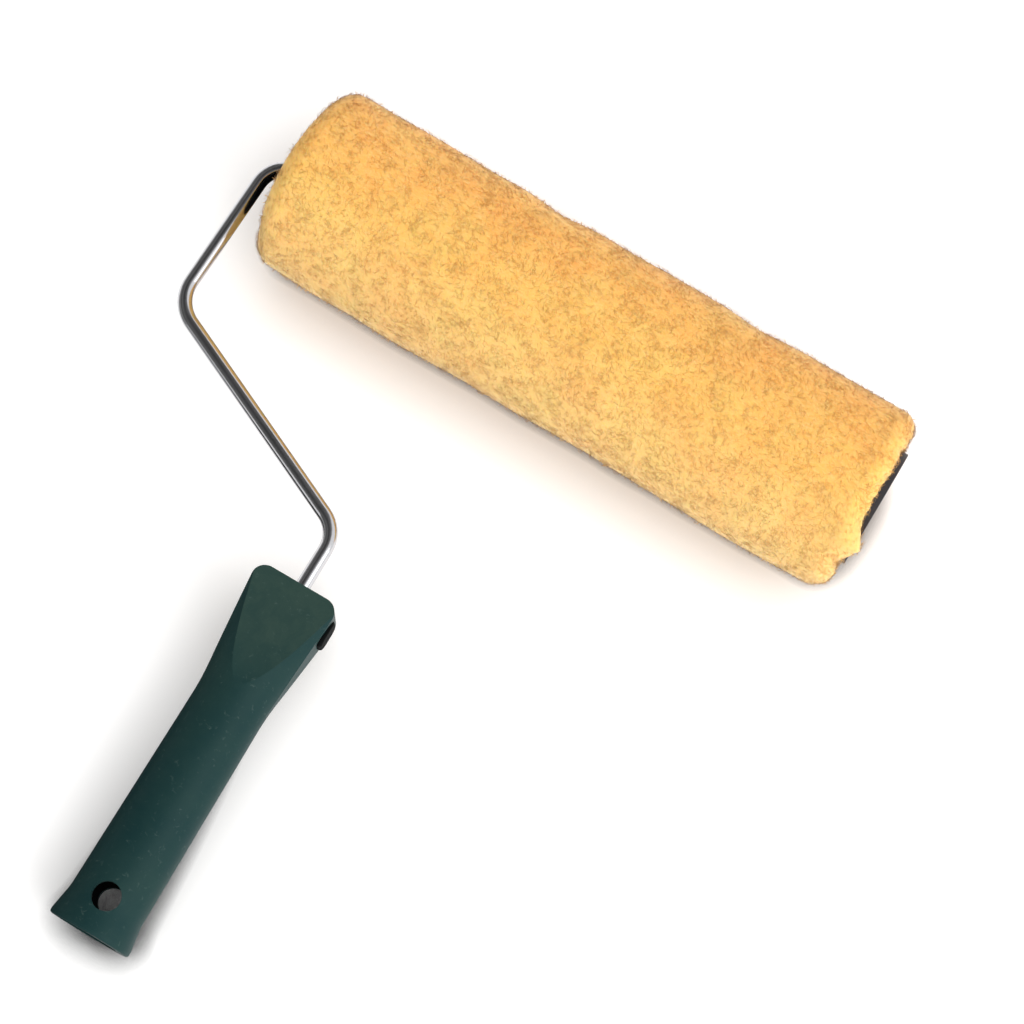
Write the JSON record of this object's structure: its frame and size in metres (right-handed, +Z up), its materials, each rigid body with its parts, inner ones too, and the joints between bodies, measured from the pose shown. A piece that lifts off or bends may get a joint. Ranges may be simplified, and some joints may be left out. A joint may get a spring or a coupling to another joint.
{
  "type": "paint roller",
  "caption": "Cage-frame paint roller: bent chromed wire, green hollow handle with hang hole and pole socket, and an orange plush sleeve that spins and pulls off.",
  "frame": {"origin": "on the surface the roller lies on, under the middle of its box", "axes": "+X along the axle from the bent wire's side to the free end, +Y from the butt of the handle to the sleeve, +Z up from the surface"},
  "size_m": [0.2722, 0.328, 0.076],
  "materials": {
    "pile": "plush pile",
    "chrome_wire": "bright chrome plate",
    "zinc_steel": "zinc plate",
    "spring_wire": "drawn spring wire",
    "green_plastic": "satin moulded",
    "black_plastic": "satin moulded",
    "tube_plastic": "extruded"
  },
  "bodies": {
    "bracket": {"bracket_wire": "chrome_wire", "stop_washer": "zinc_steel", "end_washer": "zinc_steel", "push_nut": "zinc_steel", "handle_shell": "green_plastic", "handle_core": "black_plastic"},
    "cage": {"cage_cap_inner": "black_plastic", "cage_cap_outer": "black_plastic", "cage_wire_1": "spring_wire", "cage_wire_2": "spring_wire", "cage_wire_3": "spring_wire", "cage_wire_4": "spring_wire", "cage_wire_5": "spring_wire"},
    "sleeve": {"core_tube": "tube_plastic", "pile_cover": "pile"}
  },
  "joints": [
    {"name": "cage_spin", "type": "hinge", "parent": "bracket", "child": "cage", "pos_m": [0.00212, 0.12604, 0.038], "axis": [1, 0, 0], "continuous": true},
    {"name": "sleeve_pull", "type": "slide", "parent": "cage", "child": "sleeve", "axis": [1, 0, 0], "range_m": [0, 0.27]}
  ]
}
